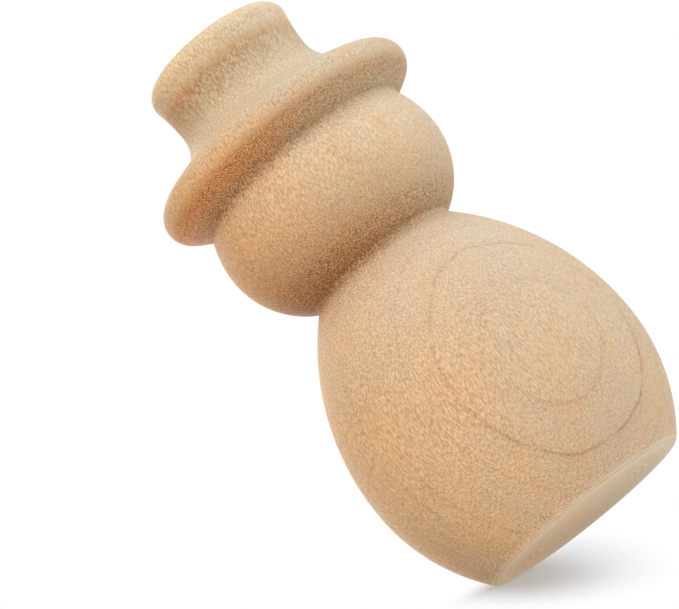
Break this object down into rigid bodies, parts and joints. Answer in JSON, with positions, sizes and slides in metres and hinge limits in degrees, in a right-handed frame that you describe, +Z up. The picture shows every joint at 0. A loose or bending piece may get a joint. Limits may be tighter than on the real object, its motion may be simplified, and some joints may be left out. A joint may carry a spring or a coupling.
{
  "type": "peg doll",
  "caption": "Plain turned wooden peg doll shaped like a snowman: round belly on a flat base, ball head and a top hat with a rounded brim and flared crown.",
  "frame": {"origin": "centre of the flat base face", "axes": "+Z up along the turning axis, from the base face to the top of the hat; the doll is round, so X and Y are free"},
  "size_m": [0.0318, 0.0318, 0.06],
  "materials": {
    "body_wood": "bare sanded pale hardwood, satin-matt",
    "head_wood": "bare sanded pale hardwood, satin-matt",
    "hat_wood": "bare sanded pale hardwood, satin-matt"
  },
  "bodies": {
    "root": {"body": "body_wood", "head": "head_wood", "hat": "hat_wood"}
  },
  "joints": []
}
